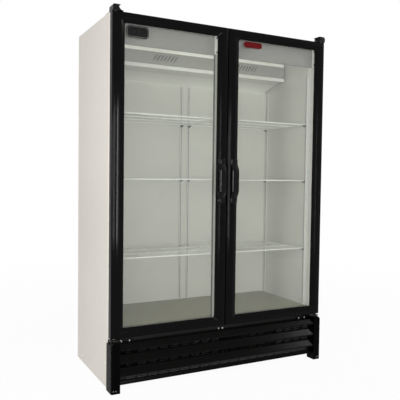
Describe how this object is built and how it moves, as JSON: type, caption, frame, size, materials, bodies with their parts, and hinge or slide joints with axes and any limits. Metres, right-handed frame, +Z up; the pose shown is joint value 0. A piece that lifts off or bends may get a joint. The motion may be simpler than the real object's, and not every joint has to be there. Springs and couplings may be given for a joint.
{
  "type": "glass door cooler",
  "caption": "Upright refrigerated display cabinet with side-hinged glass doors, bow handles, wire shelves, corner posts and a folded front grille over the condensing unit",
  "frame": {"origin": "on the floor, at the middle of the overall width and depth", "axes": "+Z up, the doors face -Y, +X to the right for a person who faces the doors"},
  "size_m": [1.38, 0.677, 2.026],
  "materials": {
    "gray_white_enamel": "satin",
    "galvanised": "satin",
    "white_enamel": "satin",
    "foam": "matte",
    "liner_enamel": "satin",
    "floor_steel": "satin",
    "white_plastic": "satin",
    "gray_plastic": "matte",
    "header_enamel": "satin",
    "lamp_plastic": "matte",
    "coil_metal": "satin",
    "pan_metal": "satin",
    "motor_black": "satin",
    "fan_plastic": "satin",
    "standard_zinc": "satin",
    "clip_steel": "satin",
    "shelf_coat": "gloss",
    "hinge_black": "gloss",
    "cap_plastic": "gloss",
    "post_plastic": "gloss",
    "grille_black": "gloss",
    "foot_rubber": "matte",
    "gland_rubber": "matte",
    "compressor_black": "satin",
    "tray_plastic": "matte",
    "copper": "satin",
    "box_plastic": "matte",
    "knob_plastic": "satin",
    "door_black": "gloss",
    "door_glass": "gloss",
    "seal_rubber": "matte",
    "handle_black": "gloss",
    "bush_plastic": "satin"
  },
  "bodies": {
    "cabinet": {"left_side_panel": "gray_white_enamel", "right_side_panel": "gray_white_enamel", "rear_panel": "galvanised", "roof_panel": "gray_white_enamel", "front_sill": "grille_black", "insulation": "foam", "liner_wrapper": "liner_enamel", "back_liner": "liner_enamel", "floor_liner": "floor_steel", "center_mullion": "white_plastic", "mullion_trims": "gray_plastic", "jamb_trims": "white_plastic", "header_panels": "header_enamel", "header_brackets": "white_enamel", "lamp_battens": "lamp_plastic", "evaporator_cover": "white_enamel", "evaporator_coil": "coil_metal", "evaporator_pan": "pan_metal", "evaporator_motors": "motor_black", "shelf_standards": "standard_zinc", "shelf_clips": "clip_steel", "lower_left_shelf": "shelf_coat", "middle_left_shelf": "shelf_coat", "upper_left_shelf": "shelf_coat", "lower_right_shelf": "shelf_coat", "middle_right_shelf": "shelf_coat", "upper_right_shelf": "shelf_coat", "top_hinges": "hinge_black", "hinge_caps": "cap_plastic", "bottom_hinges": "hinge_black", "left_post": "post_plastic", "right_post": "post_plastic", "front_grille": "grille_black", "base_pan": "galvanised", "rear_feet": "foot_rubber", "rear_grille": "galvanised", "cord_gland": "gland_rubber", "compressor": "compressor_black", "condenser_coil": "coil_metal", "condenser_shroud": "galvanised", "condenser_motor": "motor_black", "condensate_tray": "tray_plastic", "refrigerant_lines": "copper", "control_box": "box_plastic"},
    "left_door": {"left_door_frame": "door_black", "left_door_glass": "door_glass", "left_door_gasket": "seal_rubber", "left_door_handle": "handle_black", "left_door_bushes": "bush_plastic"},
    "right_door": {"right_door_frame": "door_black", "right_door_glass": "door_glass", "right_door_gasket": "seal_rubber", "right_door_handle": "handle_black", "right_door_bushes": "bush_plastic"},
    "left_evaporator_rotor": {"evaporator_fan_left": "fan_plastic"},
    "right_evaporator_rotor": {"evaporator_fan_right": "fan_plastic"},
    "condenser_rotor": {"condenser_fan": "fan_plastic"},
    "temperature_dial": {"thermostat_knob": "knob_plastic"}
  },
  "joints": [
    {"name": "left_door_hinge", "type": "hinge", "parent": "cabinet", "child": "left_door", "pos_m": [-0.67, -0.2915, 1.138], "axis": [0, 0, -1], "range_deg": [0, 110]},
    {"name": "right_door_hinge", "type": "hinge", "parent": "cabinet", "child": "right_door", "pos_m": [0.67, -0.2915, 1.138], "axis": [0, 0, 1], "range_deg": [0, 110]},
    {"name": "left_evaporator_fan_spin", "type": "hinge", "parent": "cabinet", "child": "left_evaporator_rotor", "pos_m": [-0.2445, 0.0485, 1.874], "axis": [0, 1, 0], "continuous": true},
    {"name": "right_evaporator_fan_spin", "type": "hinge", "parent": "cabinet", "child": "right_evaporator_rotor", "pos_m": [0.3295, 0.0485, 1.874], "axis": [0, 1, 0], "continuous": true},
    {"name": "condenser_fan_spin", "type": "hinge", "parent": "cabinet", "child": "condenser_rotor", "pos_m": [-0.34, -0.1485, 0.1465], "axis": [0, 1, 0], "continuous": true},
    {"name": "thermostat_turn", "type": "hinge", "parent": "cabinet", "child": "temperature_dial", "pos_m": [0.51, -0.2335, 0.1415], "axis": [0, -1, 0], "range_deg": [-135, 135]}
  ]
}
